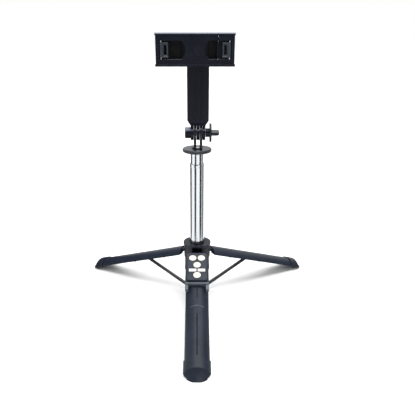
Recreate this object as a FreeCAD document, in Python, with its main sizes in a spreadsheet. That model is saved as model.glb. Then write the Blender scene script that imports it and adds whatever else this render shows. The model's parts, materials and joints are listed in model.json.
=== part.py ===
"""Selfie stick with a folding tripod, a clamp for a phone and a remote control.

Millimetres, +Z up. The origin is on the stick's axis at ground level, the front leg points to -Y and
the phone faces -Y. The tripod works like a light stand: three legs hinge in a collar, and a strut from
each leg ends at a hub on the foot of the column. Leg hinge to strut pin and strut pin to hub pin are
the same length, and both end pins are equally far from the axis, so the column stays upright.
"""

import FreeCAD, Part
import math
import os
import Sketcher

Vector = FreeCAD.Vector
Rotation = FreeCAD.Rotation
Placement = FreeCAD.Placement

SIZES = {
    # tripod collar
    "collar_top": 66.8, "collar_bottom": 49.4, "collar_radius": 14.6, "rim_radius": 15.25,
    "rim_thickness": 1.8, "collar_bore": 8.9, "slot_width": 10.7, "slot_top": 65.4,
    "slot_break": 59.4, "bush_bore": 8.1, "bush_low": 61.2, "bush_high": 65.2,
    # legs, given for the closed handle: radius from the axis, and distance down from the hinge
    "hinge_height": 56.4, "hinge_radius": 10.4, "hinge_pin": 0.9, "hinge_pin_reach": 9.4,
    "leg_slope": 20.6, "leg_radius": 13.8, "leg_wall": 1.4, "leg_half_angle": 58.5,
    "leg_start": 7.5, "leg_end": 132.0, "leg_chord": 7.2, "lug_radius": 2.2, "lug_width": 10.1,
    "nub_inner": 10.15, "nub_outer": 11.0,
    "foot_radius": 14.8, "foot_tip": 153.0, "foot_hollow": 142.5, "foot_round": 5.0,
    "sole_start": 149.5, "facet_radius": 42.0, "facet_across": 46.9, "facet_down": 169.5,
    "facet_axis": 5.2,
    # struts and the hub at the foot of the column
    "strut_reach": 68.0, "strut_radius": 9.8, "strut_width": 3.2, "strut_depth": 2.6,
    "strut_eye": 1.4, "strut_pin": 0.7, "pin_play": 0.06, "rib_gap": 1.8, "rib_thickness": 1.5,
    "hub_radius": 12.05, "hub_below": 2.6, "hub_above": 5.0, "hub_slot": 3.8, "hub_wall": 0.8,
    "hub_pin_reach": 5.3,
    # telescopic column
    "tube_step": 1.6, "tube_skin": 0.5, "tube_1_radius": 7.9, "tube_play": 0.05, "tube_neck": 4.0,
    "ferrule_radius": 8.05, "ferrule_low": 154.4, "ferrule_high": 157.7, "ferrule_spigot": 6.4,
    "tube_mouth": 170.1, "tube_2_foot": 25.0, "tube_foot_step": 12.0, "bush_length": 6.0,
    # camera screw, disc and fork
    "stud_radius": 3.175, "disc_radius": 15.25, "disc_low": 170.4, "disc_high": 173.9,
    "fork_root": 0.9, "stud_proud": 0.9, "bolt_height": 190.3, "knuckle_radius": 7.6, "prong_inner": 1.6, "prong_outer": 4.6,
    "finger_play": 0.15, "knuckle_half": 7.6, "bolt_radius": 2.5,
    # arm
    "arm_offset": 1.0, "arm_half_width": 11.0, "arm_half_depth": 4.0, "arm_taper": 203.3,
    "pivot_height": 272.5, "ridge_height": 0.7, "ridge_width": 1.8, "ridge_spread": 3.4,
    # thumb knob
    "knob_boss": 4.5, "flange_radius": 9.6, "flange_low": 11.8, "flange_high": 13.9,
    "wing_end": 21.9, "wing_half_depth": 8.6, "wing_thickness": 3.0, "nut_boss": 5.7,
    "nut_boss_end": 13.5, "nut_flats": 8.0, "nut_thickness": 4.0,
    # phone clamp
    "clamp_left": -39.7, "clamp_right": 35.9, "clamp_low": 257.1, "clamp_high": 288.0,
    "clamp_front": -14.4, "clamp_back": -5.1, "ledge": 0.6, "ledge_height": 2.2, "seam": 20.4,
    "seam_gap": 0.2, "window_low": 263.8, "window_high": 280.8, "window_floor": -7.4,
    "window_left": -36.1, "window_left_inner": -14.5, "window_right_inner": 10.8,
    "window_right": 32.8, "notch_radius": 10.5, "notch_depth": 3.2, "claw_reach": 6.9,
    "claw_left_hinge": -34.5, "claw_right_hinge": 31.2, "claw_hinge_depth": -12.9,
    "claw_barrel": 1.3, "claw_pin": 0.6, "claw_height": 14.2, "rod_radius": 1.2, "rod_depth": -11.6,
    "spring_depth": -7.9, "spring_radius": 1.0, "spring_wire": 0.22, "channel_offset": 3.4,
    "jaw_floor": -9.6, "cap_radius": 5.1, "pivot_radius": 2.0,
    # remote control, in the closed handle's radius and distance down from the hinge
    "bed_radius": 14.0, "rail_radius": 17.0, "rail_inner": 10.5, "rail_outer": 12.3,
    "remote_start": 7.5, "remote_end": 45.5, "remote_half_width": 10.2, "remote_face": 19.4,
    "remote_split": 16.2, "remote_wall": 1.0, "board_low": 16.6, "board_thickness": 0.8,
    "button_radius": 3.8, "button_proud": 0.4, "button_spread": 4.6, "bar_length": 7.6,
    "bar_width": 3.4, "button_travel": 0.45, "clip_end": 48.2, "clip_prong": 54.5,
}

doc = FreeCAD.newDocument("selfie_stick")
sheet = doc.addObject("Spreadsheet::Sheet", "Sizes")
for row, (alias, number) in enumerate(SIZES.items(), start=1):
    sheet.set(f"A{row}", alias)
    sheet.set(f"B{row}", str(number))
    sheet.setAlias(f"B{row}", alias)
doc.recompute()


class Size(float):
    """A number that remembers the spreadsheet formula it came from."""

    def __new__(cls, number, formula=None):
        made = super().__new__(cls, number)
        made.formula = formula or f"{float(number):.6g}"
        return made

    def joined(self, other, sign, result, swap=False):
        mine, theirs = self.formula, Size(other, getattr(other, "formula", None)).formula
        first, second = (theirs, mine) if swap else (mine, theirs)
        return Size(result, f"({first} {sign} {second})")

    def __add__(self, other):
        return self.joined(other, "+", float(self) + float(other))

    def __radd__(self, other):
        return self.joined(other, "+", float(other) + float(self), True)

    def __sub__(self, other):
        return self.joined(other, "-", float(self) - float(other))

    def __rsub__(self, other):
        return self.joined(other, "-", float(other) - float(self), True)

    def __mul__(self, other):
        return self.joined(other, "*", float(self) * float(other))

    def __rmul__(self, other):
        return self.joined(other, "*", float(other) * float(self), True)

    def __truediv__(self, other):
        return self.joined(other, "/", float(self) / float(other))

    def __neg__(self):
        return Size(-float(self), f"(-{self.formula})")


class Dimensions:
    """Every spreadsheet cell, as a Size."""

    def __init__(self, sizes):
        for alias, number in sizes.items():
            setattr(self, alias, Size(number, f"Sizes.{alias}"))


d = Dimensions(SIZES)
pieces = {}


# ---------------------------------------------------------------- building blocks
def bind(thing, path, size):
    """Ties one property of a document object to its formula."""
    thing.setExpression(path, Size(size, getattr(size, "formula", None)).formula)


def set_base(thing, corner, rotation=Rotation()):
    """Places a primitive with its corner or axis start bound to the sheet."""
    thing.Placement = Placement(Vector(*[float(c) for c in corner]), rotation)
    for letter, size in zip("xyz", corner):
        bind(thing, f"Placement.Base.{letter}", size)
    return thing


def block(x_range, y_range, z_range):
    box = doc.addObject("Part::Box", "block")
    for side, (low, high) in zip(("Length", "Width", "Height"), (x_range, y_range, z_range)):
        bind(box, side, high - low)
    return set_base(box, (x_range[0], y_range[0], z_range[0]))


def rod(axis, radius, low, high, across=0.0, up=0.0):
    """A cylinder along an axis. across and up are its other two coordinates, in X, Y, Z order."""
    cylinder = doc.addObject("Part::Cylinder", "rod")
    bind(cylinder, "Radius", radius)
    bind(cylinder, "Height", high - low)
    if axis == "X":
        return set_base(cylinder, (low, across, up), Rotation(Vector(0, 1, 0), 90))
    if axis == "Y":
        return set_base(cylinder, (across, low, up), Rotation(Vector(1, 0, 0), -90))
    return set_base(cylinder, (across, up, low))


def torus(major, minor, across, up):
    """A ring-shaped solid that lies level, with its centre on X = 0."""
    solid = doc.addObject("Part::Torus", "torus")
    bind(solid, "Radius1", major)
    bind(solid, "Radius2", minor)
    return set_base(solid, (0.0, across, up))


def sector(radius, low, high):
    """The third of a round bar that one leg takes, centred on -Y."""
    third = doc.addObject("Part::Cylinder", "sector")
    bind(third, "Radius", radius)
    bind(third, "Height", high - low)
    bind(third, "Angle", 2 * d.leg_half_angle)
    return set_base(third, (0.0, 0.0, low), Rotation(Vector(0, 0, 1), -90 - d.leg_half_angle))


def cut(base, *tools):
    for tool in tools:
        result = doc.addObject("Part::Cut", "cut")
        result.Base = base
        result.Tool = tool
        base = result
    return base


def fuse(*solids):
    result = doc.addObject("Part::MultiFuse", "fuse")
    result.Shapes = list(solids)
    result.Refine = True
    return result


def group(*solids):
    result = doc.addObject("Part::Compound", "group")
    result.Links = list(solids)
    return result


def ring(outer, inner, low, high):
    return cut(rod("Z", outer, low, high), rod("Z", inner, low - 1, high + 1))


def piece(label, thing, placement=None):
    """Names a finished piece and puts it where it belongs at rest."""
    thing.Label = label
    if placement is not None:
        thing.Placement = placement
    pieces[label] = thing
    return thing


# ---------------------------------------------------------------- PartDesign bodies
def new_body(label):
    made = doc.addObject("PartDesign::Body", label)
    made.Label = label
    return made


def plane_of(body, role):
    return next(f for f in body.Origin.OriginFeatures if f.Role == role)


def new_sketch(body, role, offset=0.0):
    sketch = body.newObject("Sketcher::SketchObject", body.Name + "_sketch")
    sketch.AttachmentSupport = [(plane_of(body, role), "")]
    sketch.MapMode = "FlatFace"
    sketch.AttachmentOffset = Placement(Vector(0, 0, float(offset)), Rotation())
    if isinstance(offset, Size):
        bind(sketch, "AttachmentOffset.Base.z", offset)
    return sketch


def pin_point(sketch, index, which, point):
    """Fixes one point of the sketch to the sheet, measured from the origin."""
    for kind, size in zip(("DistanceX", "DistanceY"), point):
        made = sketch.addConstraint(Sketcher.Constraint(kind, -1, 1, index, which, float(size)))
        if isinstance(size, Size):
            bind(sketch, f"Constraints[{made}]", size)


def outline(sketch, corners):
    """A closed outline of straight lines."""
    first = sketch.GeometryCount
    count = len(corners)
    places = [Vector(float(x), float(y), 0) for x, y in corners]
    for i in range(count):
        sketch.addGeometry(Part.LineSegment(places[i], places[(i + 1) % count]), False)
    for i in range(count):
        following = first + (i + 1) % count
        sketch.addConstraint(Sketcher.Constraint("Coincident", first + i, 2, following, 1))
    for i, corner in enumerate(corners):
        pin_point(sketch, first + i, 1, corner)
    return sketch


def rectangle(sketch, low_x, high_x, low_y, high_y):
    corners = [(low_x, low_y), (high_x, low_y), (high_x, high_y), (low_x, high_y)]
    return outline(sketch, corners)


def disc(sketch, radius, centre=(0.0, 0.0)):
    middle = Vector(float(centre[0]), float(centre[1]), 0)
    index = sketch.addGeometry(Part.Circle(middle, Vector(0, 0, 1), float(radius)), False)
    pin_point(sketch, index, 3, centre)
    made = sketch.addConstraint(Sketcher.Constraint("Radius", index, float(radius)))
    bind(sketch, f"Constraints[{made}]", radius)
    return sketch


def feature(body, kind, sketch, grows):
    """Adds a sketched feature, and its caller sets it up. check() then compares the volume."""
    made = body.newObject(f"PartDesign::{kind}", body.Name + "_" + kind.lower())
    made.Profile = sketch
    sketch.Visibility = False
    return made, grows, body.Shape.Volume if len(body.Group) > 2 else 0.0


def check(body, made, grows, before):
    doc.recompute()
    after = body.Shape.Volume
    if (after <= before + 1e-6) if grows else (after >= before - 1e-6):
        raise RuntimeError(f"{made.Label} of {body.Label} changed nothing: {before} to {after}")
    return made


def pad(body, sketch, length, middle=False, backwards=False):
    made, grows, before = feature(body, "Pad", sketch, True)
    bind(made, "Length", length)
    made.Midplane = middle
    made.Reversed = backwards
    return check(body, made, grows, before)


def pocket(body, sketch, length, middle=False, backwards=False):
    made, grows, before = feature(body, "Pocket", sketch, False)
    bind(made, "Length", length)
    made.Midplane = middle
    made.Reversed = backwards
    return check(body, made, grows, before)


def revolve(body, sketch, angle=360.0, middle=False):
    made, grows, before = feature(body, "Revolution", sketch, True)
    made.ReferenceAxis = (sketch, ["V_Axis"])
    bind(made, "Angle", angle)
    made.Midplane = middle
    return check(body, made, grows, before)


def repeat_round(body, original, count):
    """Repeats a feature evenly round the Z axis."""
    before = body.Shape.Volume
    made = body.newObject("PartDesign::PolarPattern", body.Name + "_pattern")
    made.Originals = [original]
    made.Axis = (plane_of(body, "Z_Axis"), [""])
    made.Angle = 360
    made.Occurrences = count
    body.Tip = made
    doc.recompute()
    if abs(body.Shape.Volume - before) < 1e-6:
        raise RuntimeError(f"the pattern of {body.Label} changed nothing")
    return made


def round_edges(body, radius, chosen, kind="Fillet"):
    """Rounds or chamfers the edges that chosen() picks."""
    names = [f"Edge{i + 1}" for i, edge in enumerate(body.Shape.Edges) if chosen(edge)]
    if not names:
        raise RuntimeError(f"no edge of {body.Label} was chosen")
    base = body.Tip
    made = body.newObject(f"PartDesign::{kind}", body.Name + "_" + kind.lower())
    made.Base = (base, names)
    bind(made, "Radius" if kind == "Fillet" else "Size", radius)
    body.Tip = made
    doc.recompute()
    return made


def runs_along(edge, direction):
    """True for a straight edge along a direction."""
    if edge.Curve.TypeId != "Part::GeomLine":
        return False
    return abs(edge.Curve.Direction.dot(direction)) > 0.999


def on_knuckle(label, thing):
    """A piece drawn about the knuckle's middle, which is a little to the right of the stick."""
    piece(label, thing)
    bind(thing, "Placement.Base.x", d.arm_offset)


def turned(label, corners):
    """A piece of revolution about Z, from its outline of radius and height."""
    body = new_body(label)
    revolve(body, outline(new_sketch(body, "XZ_Plane"), corners))
    return body


# ---------------------------------------------------------------- where the tripod's pieces are
fold_angle = 90 - d.leg_slope
about_x = Vector(1, 0, 0)
hinge_folded = Vector(0, -d.hinge_radius, 0)
strut_pin_folded = Vector(0, -d.strut_radius, -d.strut_reach)
LEGS = {"front": 0.0, "left": -120.0, "right": 120.0}


def round_stick(azimuth):
    return Placement(Vector(0, 0, 0), Rotation(Vector(0, 0, 1), azimuth))


def on_leg(azimuth):
    """From the closed handle, with the hinge at height 0, to the open leg."""
    swing = Placement(hinge_folded, Rotation(about_x, -fold_angle))
    lift = Placement(Vector(0, 0, d.hinge_height), Rotation())
    return lift * round_stick(azimuth) * swing * Placement(-hinge_folded, Rotation())


def on_strut(azimuth):
    """The same for a strut, which swings the other way about its pin in the leg."""
    pin_at_rest = on_leg(0.0).multVec(strut_pin_folded)
    swing = Placement(pin_at_rest, Rotation(about_x, fold_angle))
    return round_stick(azimuth) * swing * Placement(-strut_pin_folded, Rotation())


hub_pin_folded = Vector(0, -d.hinge_radius, -2 * d.strut_reach)
hub_height = Size(on_strut(0.0).multVec(hub_pin_folded).z)


# ---------------------------------------------------------------- tripod
def make_collar():
    body = turned("collar", [
        (d.collar_bore, d.collar_bottom),
        (d.collar_radius, d.collar_bottom),
        (d.collar_radius, d.collar_top - d.rim_thickness - 0.6),
        (d.rim_radius, d.collar_top - d.rim_thickness),
        (d.rim_radius, d.collar_top),
        (d.collar_bore, d.collar_top),
    ])
    round_edges(body, Size(0.8), lambda e: e.BoundBox.ZMax < d.collar_bottom + 0.01
                and e.BoundBox.XMax > d.collar_bore + 1)
    deep = new_sketch(body, "XY_Plane", d.slot_break)
    rectangle(deep, -d.slot_width / 2, d.slot_width / 2, -d.rim_radius - 1, -2.0)
    slot = pocket(body, deep, d.slot_break - d.collar_bottom + 1)
    repeat_round(body, slot, 3)
    shallow = new_sketch(body, "XY_Plane", d.slot_top)
    outer_edge = -d.rim_radius - 1
    rectangle(shallow, -d.slot_width / 2, d.slot_width / 2, outer_edge, -d.hinge_radius + 0.2)
    recess = pocket(body, shallow, d.slot_top - d.slot_break + 0.5)
    repeat_round(body, recess, 3)
    drill = new_sketch(body, "YZ_Plane")
    disc(drill, d.hinge_pin, (-d.hinge_radius, d.hinge_height))
    hole = pocket(body, drill, 2 * d.hinge_pin_reach, middle=True)
    repeat_round(body, hole, 3)
    piece("collar", body)
    low, high = d.bush_low, d.bush_high
    piece("slide_bush", ring(d.collar_bore, d.bush_bore, low, high))
    pins = []
    for azimuth in LEGS.values():
        reach = d.hinge_pin_reach
        pin = rod("X", d.hinge_pin, -reach, reach, -d.hinge_radius, d.hinge_height)
        turned_pin = group(pin)
        turned_pin.Placement = round_stick(azimuth)
        pins.append(turned_pin)
    piece("leg_hinge_pins", group(*pins))


def leg_shell():
    """One leg of the closed handle: a third of a tube, its hinge lug and the ribs for the strut."""
    inner = d.leg_radius - d.leg_wall
    half = d.lug_width / 2
    shell = cut(sector(d.leg_radius, -d.leg_end, -d.leg_start),
                rod("Z", inner, -d.leg_end - 1, -d.leg_start + 1))
    end_wall = cut(sector(inner + 0.5, -d.leg_start - 1.6, -d.leg_start),
                   rod("Z", d.tube_1_radius + 0.7, -d.leg_start - 3, -d.leg_start + 1))
    eye = rod("X", d.lug_radius, -half, half, -d.hinge_radius)
    lug = block((-half, half), (-d.hinge_radius - d.lug_radius, -d.hinge_radius + 1.4),
                (-d.leg_start - 4.5, Size(0.0)))
    spine = block((-half, half), (-inner - 0.6, -d.hinge_radius - 0.2),
                  (-d.leg_start - 12, -d.leg_start - 1))
    ribs = []
    for side in (-1, 1):
        edges = sorted((side * d.rib_gap, side * (d.rib_gap + d.rib_thickness)))
        ribs.append(block(edges, (-inner - 0.5, -d.strut_radius + d.strut_eye - 0.05),
                          (-d.strut_reach - 4, -d.strut_reach + 4)))
    return cut(fuse(shell, end_wall, eye, lug, spine, *ribs), *open_side_cuts())


def closing_nubs():
    """Small pads on the leg's long edges, which keep the closed legs apart."""
    nubs = []
    for down in (31.0, 76.0, 120.0):
        for edges in ((-d.nub_outer, -d.nub_inner), (d.nub_inner, d.nub_outer)):
            nubs.append(block(edges, (-d.leg_chord - 0.2, -d.leg_chord + 0.6),
                              (-down - 1.3, Size(1.3 - down))))
    return nubs


def open_side_cuts():
    """Clears the leg's open side, beside the hinge lug as well."""
    half = d.lug_width / 2
    open_side = block((-20.0, Size(20.0)), (-d.leg_chord, Size(20.0)),
                      (-d.leg_end - 1, -d.leg_start - 4.5))
    open_end = block((half + 0.001, Size(20.0)), (-d.leg_chord, Size(20.0)),
                     (-d.leg_start - 5, Size(3.0)))
    open_end_2 = block((Size(-20.0), -half - 0.001), (-d.leg_chord, Size(20.0)),
                       (-d.leg_start - 5, Size(3.0)))
    return open_side, open_end, open_end_2


def leg_cuts():
    """The way for the column, and the bores for the leg's two pins."""
    column_way = rod("Z", d.tube_1_radius + 0.3, -d.leg_end - 1, Size(4.0))
    hinge = rod("X", d.hinge_pin + d.pin_play, Size(-20.0), Size(20.0), -d.hinge_radius)
    pin = rod("X", d.strut_pin, -d.rib_gap - d.rib_thickness - 0.01,
              d.rib_gap + d.rib_thickness + 0.01, -d.strut_radius, -d.strut_reach)
    return column_way, hinge, pin


def remote_bed():
    """The front leg's flat bed and side rails, which carry the remote control."""
    inner = d.leg_radius - d.leg_wall
    low, high = -d.remote_end - 0.5, -d.leg_start
    outer = d.rail_outer
    bed = cut(block((-outer, outer), (-d.bed_radius, -d.leg_chord), (low, high)),
              rod("Z", inner, low - 1, high + 1))
    rails = [block(edges, (-d.rail_radius, -d.bed_radius + 0.2), (low, high))
             for edges in ((-outer, -d.rail_inner), (d.rail_inner, outer))]
    grip = outer + 0.7
    grips = [block(edges, (-d.rail_radius + 0.7, -d.bed_radius + 1.2), (-25.0, Size(-9.0)))
             for edges in ((-grip, -outer + 0.2), (outer - 0.2, grip))]
    return [bed, *rails, *grips]


def front_leg_marks():
    """The front leg's recess under the clip, short groove, shallow step and long slot."""
    top = -d.leg_radius
    recess = block((-8.4, Size(8.4)), (top - 1, top + 0.9), (-d.clip_end - 3.6, -d.clip_end + 0.5))
    short_groove = block((-0.5, Size(0.5)), (top - 1, top + 0.5), (-64.0, -d.clip_end - 3.0))
    long_slot = block((-0.6, Size(0.6)), (top - 1, top + 0.6), (-129.4, Size(-83.7)))
    return recess, short_groove, long_slot


def make_foot(side, azimuth):
    """A foot cap that closes the leg's end, with a slanting end facet and a flat sole."""
    body = new_body(side + "_foot_whole")
    inner = d.leg_radius - d.leg_wall
    profile = outline(new_sketch(body, "YZ_Plane"), [
        (-inner, -d.leg_end),
        (-d.foot_radius, -d.leg_end),
        (-d.foot_radius, -d.foot_tip),
        (-d.leg_chord + 1.0, -d.foot_tip),
        (-d.leg_chord + 1.0, -d.foot_hollow),
        (-inner, -d.foot_hollow),
    ])
    revolve(body, profile, 2 * d.leg_half_angle, middle=True)
    tip = -d.foot_tip
    round_edges(body, d.foot_round, lambda e: e.Curve.TypeId == "Part::GeomCircle"
                and abs(e.BoundBox.ZMin - tip) < 0.01 and e.Curve.Radius > d.foot_radius - 0.01)
    open_side = new_sketch(body, "XY_Plane", -d.leg_end + 1)
    rectangle(open_side, -20.0, 20.0, -d.leg_chord, 20.0)
    pocket(body, open_side, d.sole_start - d.leg_end + 1)
    facet = torus(d.facet_across + d.facet_axis, d.facet_radius, d.facet_axis, -d.facet_down)
    shaped = cut(body, facet)
    shaped.Placement = on_leg(azimuth)
    ground = block((-200.0, Size(200.0)), (-200.0, Size(200.0)), (-20.0, Size(0.0)))
    piece(side + "_foot", cut(shaped, ground))


def make_leg(side, azimuth):
    solid = fuse(leg_shell(), *closing_nubs())
    if side == "front":
        solid = cut(fuse(solid, *remote_bed()), *front_leg_marks())
    piece(side + "_leg", cut(solid, *leg_cuts()), on_leg(azimuth))
    reach = d.rib_gap + d.rib_thickness
    pin = rod("X", d.strut_pin, -reach, reach, -d.strut_radius, -d.strut_reach)
    piece(side + "_strut_pin", group(pin), on_leg(azimuth))
    make_foot(side, azimuth)


def make_strut(side, azimuth):
    """A flat link with an eye at each end, drawn where it lies in the closed handle."""
    body = new_body(side + "_strut")
    half = d.strut_depth / 2
    top, bottom = -d.strut_reach, -2 * d.strut_reach
    link = outline(new_sketch(body, "YZ_Plane"), [
        (-d.strut_radius - half, top), (-d.strut_radius + half, top),
        (-d.hinge_radius + half, bottom), (-d.hinge_radius - half, bottom)])
    pad(body, link, d.strut_width, middle=True)
    for centre in ((-d.strut_radius, top), (-d.hinge_radius, bottom)):
        pad(body, disc(new_sketch(body, "YZ_Plane"), d.strut_eye, centre), d.strut_width, middle=True)
    for centre in ((-d.strut_radius, top), (-d.hinge_radius, bottom)):
        bore = disc(new_sketch(body, "YZ_Plane"), d.strut_pin + d.pin_play, centre)
        pocket(body, bore, d.strut_width + 1, middle=True)
    for face in (-1, 1):
        groove = new_sketch(body, "YZ_Plane", face * d.strut_width / 2)
        outline(groove, [(-d.strut_radius - 0.6, top - 4), (-d.strut_radius + 0.6, top - 4),
                         (-d.hinge_radius + 0.6, bottom + 4), (-d.hinge_radius - 0.6, bottom + 4)])
        pocket(body, groove, Size(0.7), backwards=face < 0)
    piece(side + "_strut", body, on_strut(azimuth))


def make_hub():
    """The hub on the foot of the column, with a slot and a pin for each strut."""
    low, high = hub_height - d.hub_below, hub_height + d.hub_above
    body = turned("foot_hub", [
        (0.0, low), (d.hub_radius - 1.2, low), (d.hub_radius, low + 1.2), (d.hub_radius, high),
        (d.tube_1_radius, high), (d.tube_1_radius, low + 2), (0.0, low + 2)])
    slot = new_sketch(body, "XY_Plane", high + 1)
    rectangle(slot, -d.hub_slot / 2, d.hub_slot / 2, -d.hub_radius - 1,
              -d.tube_1_radius - d.hub_wall)
    repeat_round(body, pocket(body, slot, high - low + 2), 3)
    drill = disc(new_sketch(body, "YZ_Plane"), d.strut_pin, (-d.hinge_radius, hub_height))
    repeat_round(body, pocket(body, drill, 2 * d.hub_pin_reach, middle=True), 3)
    piece("foot_hub", body)
    pins = []
    for azimuth in LEGS.values():
        pin = rod("X", d.strut_pin, -d.hub_pin_reach, d.hub_pin_reach, -d.hinge_radius, hub_height)
        turned_pin = group(pin)
        turned_pin.Placement = round_stick(azimuth)
        pins.append(turned_pin)
    piece("hub_pins", group(*pins))


# ---------------------------------------------------------------- telescopic column
def tube_radius(number):
    return d.tube_1_radius - (number - 1) * d.tube_step / 2


def make_column():
    outer = tube_radius(1)
    foot = hub_height - d.hub_below + 2
    piece("tube_1", turned("tube_1", [
        (outer - d.tube_skin, foot), (outer, foot), (outer, d.ferrule_low),
        (outer - d.tube_skin, d.ferrule_low)]))
    guide = tube_radius(2) + d.tube_play
    piece("tube_1_ferrule", turned("tube_1_ferrule", [
        (guide, d.ferrule_low - d.ferrule_spigot), (outer - d.tube_skin, d.ferrule_low - d.ferrule_spigot),
        (outer - d.tube_skin, d.ferrule_low), (d.ferrule_radius, d.ferrule_low),
        (d.ferrule_radius, d.ferrule_high - 0.5), (d.ferrule_radius - 0.5, d.ferrule_high),
        (guide, d.ferrule_high)]))
    for number in (2, 3, 4):
        make_inner_tube(number)
    make_stud()


def make_inner_tube(number):
    """A tube with a necked mouth that guides the next one, and a bush in its foot."""
    outer = tube_radius(number)
    inner = outer - d.tube_skin
    foot = d.tube_2_foot + (number - 2) * d.tube_foot_step
    mouth = d.tube_mouth - (number - 2) * 0.1
    guide = tube_radius(number + 1) + d.tube_play if number < 4 else inner
    neck = d.tube_neck if number < 4 else Size(0.0)
    corners = [(inner, foot), (outer, foot), (outer, mouth), (guide, mouth)]
    if number < 4:
        corners += [(guide, mouth - neck), (inner, mouth - neck - 0.4)]
    piece(f"tube_{number}", turned(f"tube_{number}", corners))
    running = tube_radius(number - 1) - d.tube_skin - d.tube_play
    bore = inner - 1.4
    piece(f"tube_{number}_bush", turned(f"tube_{number}_bush", [
        (bore, foot - d.bush_length), (running, foot - d.bush_length), (running, foot),
        (inner, foot), (inner, foot + 4), (bore, foot + 4)]))


def make_stud():
    """The plug in the top tube and the quarter-inch camera screw that it carries."""
    inner = tube_radius(4) - d.tube_skin
    top = d.tube_mouth - 0.2
    plug = turned("top_plug", [(d.stud_radius, top - 14), (inner, top - 14), (inner, top),
                               (tube_radius(4), top), (tube_radius(4), top + 0.2),
                               (d.stud_radius, top + 0.2)])
    piece("top_plug", plug)
    piece("camera_stud", turned("camera_stud", [
        (0.0, top - 14), (d.stud_radius, top - 14),
        (d.stud_radius, d.disc_high + d.stud_proud - 0.5),
        (d.stud_radius - 0.5, d.disc_high + d.stud_proud), (0.0, d.disc_high + d.stud_proud)]))


# ---------------------------------------------------------------- pan disc, fork, arm and knob
def make_pan_head():
    """The knurled disc and the fork with two fingers, both turning on the camera screw."""
    bore = d.stud_radius + d.tube_play
    body = turned("knurled_disc", [
        (bore, d.disc_low), (d.disc_radius - 0.7, d.disc_low), (d.disc_radius, d.disc_low + 0.7),
        (d.disc_radius, d.disc_high - 0.6), (d.disc_radius - 0.6, d.disc_high),
        (bore, d.disc_high)])
    notch = disc(new_sketch(body, "XY_Plane", d.disc_high + 1), Size(0.65), (d.disc_radius + 0.2, 0.0))
    repeat_round(body, pocket(body, notch, d.disc_high - d.disc_low + 2), 44)
    piece("knurled_disc", body)

    fork = new_body("fork_base")
    on_stick = (-d.arm_offset, 0.0)
    root = disc(new_sketch(fork, "XY_Plane", d.disc_high), Size(5.6), on_stick)
    pad(fork, root, d.fork_root)
    for side in (-1, 1):
        start = d.prong_inner + d.finger_play
        thickness = d.prong_outer - d.finger_play - start
        plane = side * start
        half = d.knuckle_radius
        finger = new_sketch(fork, "YZ_Plane", plane)
        outline(finger, [(-half, d.disc_high), (half, d.disc_high), (half, d.bolt_height),
                         (-half, d.bolt_height)])
        pad(fork, finger, thickness, backwards=side < 0)
        tip = disc(new_sketch(fork, "YZ_Plane", plane), half, (0.0, d.bolt_height))
        pad(fork, tip, thickness, backwards=side < 0)
    bolt_way = disc(new_sketch(fork, "YZ_Plane"), d.bolt_radius + d.tube_play, (0.0, d.bolt_height))
    pocket(fork, bolt_way, 4 * d.knuckle_half, middle=True)
    stud_way = disc(new_sketch(fork, "XY_Plane", d.disc_high), bore, on_stick)
    pocket(fork, stud_way, d.stud_proud + 0.2, backwards=True)
    on_knuckle("fork_base", fork)


def make_arm():
    """The flat arm: a three-prong knuckle below, the clamp's pivot above and two front ridges."""
    body = new_body("mount_arm")
    half, deep = d.knuckle_half, d.knuckle_radius
    pad(body, disc(new_sketch(body, "YZ_Plane"), deep, (0.0, d.bolt_height)), 2 * half, middle=True)
    neck = outline(new_sketch(body, "YZ_Plane"), [
        (-deep, d.bolt_height), (deep, d.bolt_height), (d.arm_half_depth, d.bolt_height + 11),
        (-d.arm_half_depth, d.bolt_height + 11)])
    pad(body, neck, 2 * half, middle=True)
    left, right = -d.arm_half_width, d.arm_half_width
    plate = outline(new_sketch(body, "XZ_Plane"), [
        (-half, d.bolt_height + 7.9), (half, d.bolt_height + 7.9), (right, d.arm_taper),
        (right, d.pivot_height), (left, d.pivot_height), (left, d.arm_taper)])
    pad(body, plate, 2 * d.arm_half_depth, middle=True)
    crown = disc(new_sketch(body, "XZ_Plane"), d.arm_half_width, (0.0, d.pivot_height))
    pad(body, crown, 2 * d.arm_half_depth, middle=True)
    boss = disc(new_sketch(body, "YZ_Plane", -d.nut_boss_end), d.nut_boss, (0.0, d.bolt_height))
    pad(body, boss, d.nut_boss_end - d.knuckle_half + 0.5)
    for side in (-1, 1):
        middle_x = side * d.ridge_spread
        ridge = new_sketch(body, "XZ_Plane", d.arm_half_depth - 0.2)
        rectangle(ridge, middle_x - d.ridge_width / 2, middle_x + d.ridge_width / 2,
                  d.arm_taper + 0.5, d.pivot_height - 8)
        pad(body, ridge, d.ridge_height + 0.2)
    for side in (-1, 1):
        edges = sorted((side * d.prong_inner, side * d.prong_outer))
        gap = new_sketch(body, "XZ_Plane")
        rectangle(gap, edges[0], edges[1], d.bolt_height - deep - 1, d.bolt_height + deep + 0.5)
        pocket(body, gap, 2 * deep + 2, middle=True)
    bolt_way = disc(new_sketch(body, "YZ_Plane"), d.bolt_radius + d.tube_play, (0.0, d.bolt_height))
    pocket(body, bolt_way, 4 * d.nut_boss_end, middle=True)
    pocket(body, nut_outline(new_sketch(body, "YZ_Plane", -d.nut_boss_end)),
           d.nut_thickness + 0.3, backwards=True)
    screw_way = disc(new_sketch(body, "XZ_Plane"), d.pivot_radius, (0.0, d.pivot_height))
    pocket(body, screw_way, 4 * d.arm_half_depth, middle=True)
    on_knuckle("mount_arm", body)

    nut = new_body("hex_nut")
    pad(nut, nut_outline(new_sketch(nut, "YZ_Plane", -d.nut_boss_end + 0.3)), d.nut_thickness)
    thread = disc(new_sketch(nut, "YZ_Plane"), d.bolt_radius + d.tube_play, (0.0, d.bolt_height))
    pocket(nut, thread, 4 * d.nut_boss_end, middle=True)
    on_knuckle("hex_nut", nut)


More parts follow.
